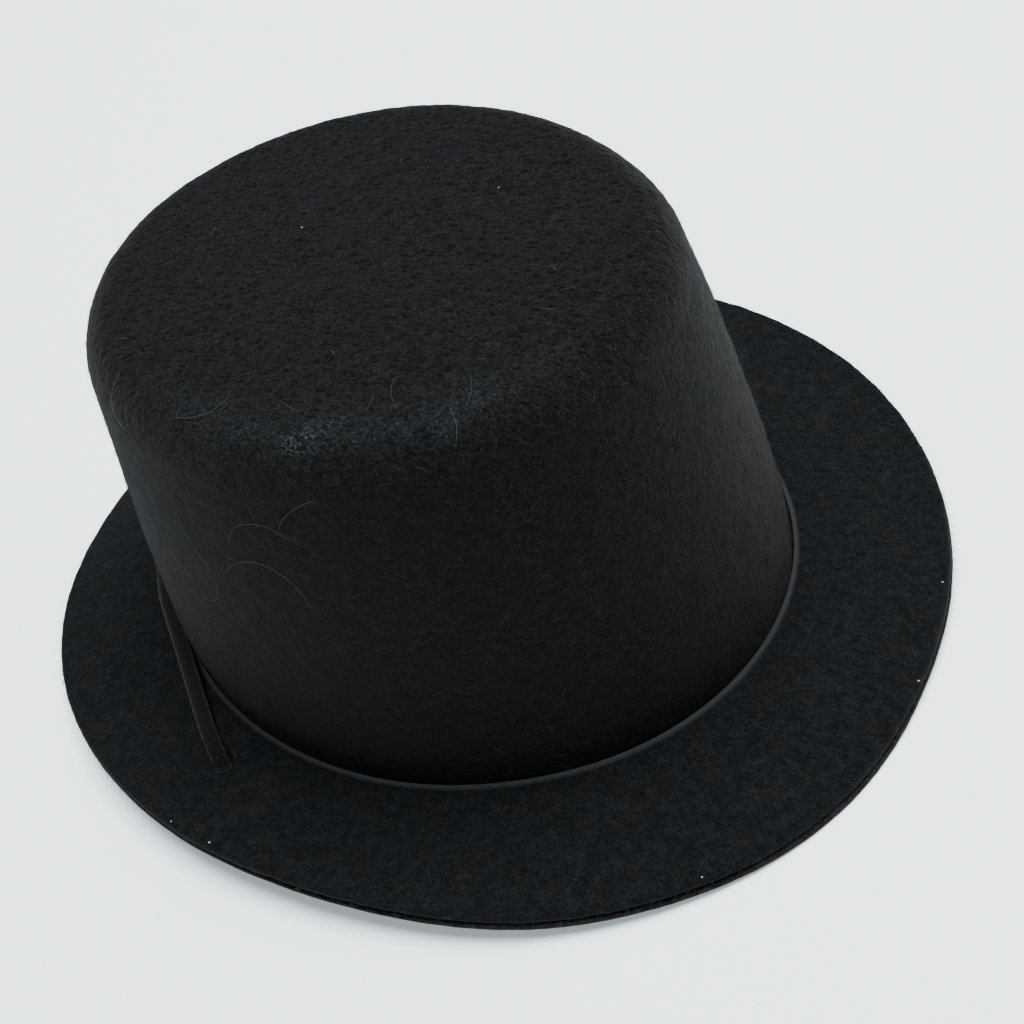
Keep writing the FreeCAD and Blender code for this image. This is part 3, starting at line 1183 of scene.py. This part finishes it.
# %% Weave materials
def weave_material(name, dark, light, pitch, roughness):
    material, nodes, links, shader = new_material(name, roughness, 0.2, 0.05)
    place = nodes.new("ShaderNodeTexCoord").outputs["Object"]
    total = None
    for direction in ("X", "Y", "Z"):
        wave = nodes.new("ShaderNodeTexWave")
        wave.bands_direction = direction
        wave.inputs["Scale"].default_value = 0.314 / pitch
        wave.inputs["Distortion"].default_value = 0.6
        links.new(place, wave.inputs["Vector"])
        if total is None:
            total = wave.outputs["Fac"]
        else:
            joined = nodes.new("ShaderNodeMath")
            joined.operation = "ADD"
            links.new(total, joined.inputs[0])
            links.new(wave.outputs["Fac"], joined.inputs[1])
            total = joined.outputs["Value"]
    colour = blend(nodes, links, stretch(nodes, links, total, 0.8, 2.2), dark, light)
    links.new(colour, shader.inputs["Base Color"])
    add_bump(nodes, links, shader, total, 0.12 * MM)
    return material


buckram = weave_material("buckram", (0.006, 0.006, 0.007), (0.040, 0.040, 0.042), 0.9 * MM, 0.7)
grosgrain = weave_material("grosgrain", (0.010, 0.010, 0.012), (0.022, 0.022, 0.025), 0.35 * MM, 0.42)
thread = weave_material("thread", (0.030, 0.030, 0.033), (0.075, 0.075, 0.080), 0.3 * MM, 0.5)
print("woven finishes:", buckram.name, grosgrain.name, thread.name)

# %% [markdown]
# ## The buckram cup
# Buckram is an open cotton weave sized with glue. Wetted and pressed into the crown, it
# dries as a stiff cup that keeps the wall upright and the tip flat. It is the crown's own
# section, moved in by the felt's thickness, so one function draws both.

# %% Buckram cup
STIFFENER = 0.6 * MM
STIFFENER_INSET = FELT + GLUE_GAP
BUCKRAM_STEP = 1.6 * MM


def build_buckram():
    steps = ROUND_STEPS // 2
    outer = crown_section(STIFFENER_INSET, BUCKRAM_STEP)
    inner = crown_section(STIFFENER_INSET + STIFFENER, BUCKRAM_STEP)
    verts = []
    faces = []
    for skin, section in enumerate((outer, inner)):
        start = len(verts)
        for half_length, height in section:
            verts += oval_ring(half_length, height, steps)
        middle = len(verts)
        verts.append(Vector((0.0, 0.0, BRIM_TOP_Z + section[-1][1])) + lean(section[-1][1]))
        last = start + (len(section) - 1) * steps
        made = ring_faces(len(section), steps, start=start)
        made += [(last + i, last + (i + 1) % steps, middle) for i in range(steps)]
        faces += [tuple(reversed(face)) for face in made] if skin else made
    start = len(outer) * steps + 1
    for i in range(steps):
        j = (i + 1) % steps
        faces.append((i, start + i, start + j, j))
    piece = add_piece("crown_buckram", verts, faces, buckram)
    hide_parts("crown_stiffener")
    return piece


cup = build_buckram()
print("buckram cup:", len(cup.data.polygons), "faces")

# %% [markdown]
# ## The ribbon
# A grosgrain ribbon hides the buckram's edge and lies against the head. Its ribs run across
# its width, so its radius rises and falls round the hat. Its ends overlap at the back,
# where it is thicker. The ribs are real shape, since a bump would vanish at the edge.

# %% Ribbon
RIBBON = 0.5 * MM
RIBBON_WIDTH = 13.0 * MM
RIBBON_INSET = STIFFENER_INSET + STIFFENER + 2.0 * GLUE_GAP
RIBS = 270
RIB_RELIEF = 0.07 * MM
OVERLAP = math.radians(9.0)
OVERLAP_THICK = 0.35 * MM


def build_ribbon():
    steps = RIBS * 4
    heights = [CROWN_FOOT + RIBBON_WIDTH * k / 10 for k in range(11)]
    profile = [(0.0, z) for z in heights] + [(1.0, z) for z in reversed(heights)]
    verts = []
    for inward, height in profile:
        for i in range(steps):
            angle = 2.0 * math.pi * i / steps
            rib = RIB_RELIEF * (0.5 - 0.5 * math.cos(angle * RIBS)) * inward
            doubled = OVERLAP_THICK * inward if abs(angle - math.pi) < OVERLAP else 0.0
            half_length = wall_x(height, RIBBON_INSET + RIBBON * inward + doubled - rib)
            verts.append(oval_point(half_length, height, angle))
    faces = ring_faces(len(profile), steps, close_rows=True)
    piece = add_piece("inner_ribbon", verts, faces, grosgrain)
    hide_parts("sweatband")
    return piece


ribbon = build_ribbon()
print("ribbon:", RIBS, "ribs,", len(ribbon.data.polygons), "faces")

# %% [markdown]
# ## The stitches
# Running stitches hold the ribbon along its upper edge. Each one is a short bow of thread
# that comes out, lies on the ribbon and goes back in. No hand sews dead level, so each
# sags by a different amount.

# %% Stitches
STITCH_COUNT = 28
STITCH_LENGTH = 2.6 * MM
STITCH_MARGIN = 1.5 * MM
STITCH_POINTS = 9
THREAD_RADIUS = 0.2 * MM


def build_stitches():
    height = CROWN_FOOT + RIBBON_WIDTH - STITCH_MARGIN
    verts = []
    faces = []
    for i in range(STITCH_COUNT):
        middle = 2.0 * math.pi * (i + 0.5) / STITCH_COUNT
        line = []
        for k in range(STITCH_POINTS):
            share = k / (STITCH_POINTS - 1)
            inward = 0.35 * MM * math.sin(math.pi * share) - 0.15 * MM
            half_length = wall_x(height, RIBBON_INSET + RIBBON + inward)
            angle = middle + (share - 0.5) * STITCH_LENGTH / half_length
            sag = 0.15 * MM * math.sin(2.0 * math.pi * share + i)
            line.append(oval_point(half_length, height, angle) + Vector((0.0, 0.0, sag)))
        start = len(verts)
        verts += sweep(line, lambda share, walked: THREAD_RADIUS)
        faces += [tuple(start + v for v in face) for face in tube_faces(len(line))]
    piece = add_piece("ribbon_stitches", verts, faces, thread)
    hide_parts("sweatband_stitches")
    return piece


stitches = build_stitches()
print("stitches:", STITCH_COUNT, "with", len(stitches.data.polygons), "faces")

# %% [markdown]
# ## Lint
# White lint sticks to black felt, mostly at the brim's edge, and a speck or two on the tip.
# Each bit is a small uneven clump, made from a ball whose points are pushed about. A rule
# with seeded random numbers scatters the specks, since where lint lands is chance.

# %% Lint
EDGE_LINT = 7
TIP_LINT = 2
LINT_LIFT = 0.12 * MM


def lint():
    chance = random.Random(53)
    spots = []
    for _ in range(EDGE_LINT):
        distance = BRIM_REACH - chance.uniform(0.2, 0.9) * MM
        spots.append(on_brim(distance, chance.uniform(0.0, 2.0 * math.pi), LINT_LIFT))
    for _ in range(TIP_LINT):
        climb = OUTER_REACH[-1] - TIP_HALF_LENGTH * chance.uniform(0.1, 0.7)
        spots.append(on_crown(climb, chance.uniform(0.0, 2.0 * math.pi), LINT_LIFT))
    verts = []
    faces = []
    for centre in spots:
        ball = bmesh.new()
        bmesh.ops.create_icosphere(ball, subdivisions=2, radius=1.0)
        size = chance.uniform(0.07, 0.13) * MM
        start = len(verts)
        for vertex in ball.verts:
            rough = 1.0 + 0.5 * noise.noise(vertex.co * 2.3 + centre / MM)
            squat = Vector((vertex.co.x * 1.5, vertex.co.y, vertex.co.z * 0.7))
            verts.append(centre + squat * size * rough)
        faces += [tuple(start + v.index for v in face.verts) for face in ball.faces]
        ball.free()
    material, nodes, links, shader = new_material("lint", 0.9, 0.1, 0.1)
    place = nodes.new("ShaderNodeTexCoord").outputs["Object"]
    fluff = add_noise(nodes, links, place, 6000.0)
    links.new(blend(nodes, links, fluff, (0.16, 0.17, 0.18), (0.42, 0.43, 0.45)),
              shader.inputs["Base Color"])
    piece = add_piece("lint", verts, faces, material)
    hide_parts("brim_top")
    return piece


lint()
print("lint specks:", EDGE_LINT + TIP_LINT)

# %% [markdown]
# ## Stage and light
# The hat stands on a plain pale cloth under a big soft light, so its shadow is wide and
# faint. A weaker soft light from the side draws the fuzzy edge of the felt.

# %% Floor and lights
def add_floor():
    mesh = bpy.data.meshes.new("floor")
    mesh.from_pydata([(-3, -3, 0), (3, -3, 0), (3, 3, 0), (-3, 3, 0)], [], [(0, 1, 2, 3)])
    floor = bpy.data.objects.new("floor", mesh)
    bpy.context.scene.collection.objects.link(floor)
    material = bpy.data.materials.new("pale cloth")
    material.use_nodes = True
    shader = material.node_tree.nodes["Principled BSDF"]
    shader.inputs["Base Color"].default_value = (0.84, 0.90, 0.935, 1.0)
    shader.inputs["Roughness"].default_value = 0.9
    shader.inputs["Specular IOR Level"].default_value = 0.1
    shader.inputs["Emission Color"].default_value = (0.86, 0.95, 1.0, 1.0)
    shader.inputs["Emission Strength"].default_value = 0.36
    mesh.materials.append(material)
    return floor


def add_light(name, place, target, size, power, colour):
    data = bpy.data.lights.new(name, "AREA")
    data.shape = "DISK"
    data.size = size
    data.energy = power
    data.color = colour
    light = bpy.data.objects.new(name, data)
    bpy.context.scene.collection.objects.link(light)
    light.location = place
    light.rotation_euler = (Vector(target) - Vector(place)).to_track_quat("-Z", "Y").to_euler()
    return light


add_floor()
DAYLIGHT = (0.93, 0.975, 1.0)
HAT_MIDDLE = (0, 0, 0.03)
add_light("overhead", (0.06, 0.16, 1.1), HAT_MIDDLE, 0.9, 44.0, DAYLIGHT)
add_light("window", (0.6, 0.9, 0.6), HAT_MIDDLE, 0.7, 4.0, DAYLIGHT)
world = bpy.data.worlds.new("studio")
world.use_nodes = True
world.node_tree.nodes["Background"].inputs["Color"].default_value = (0.90, 0.95, 1.0, 1.0)
world.node_tree.nodes["Background"].inputs["Strength"].default_value = 0.22
bpy.context.scene.world = world
print("lights:", len(bpy.data.lights))
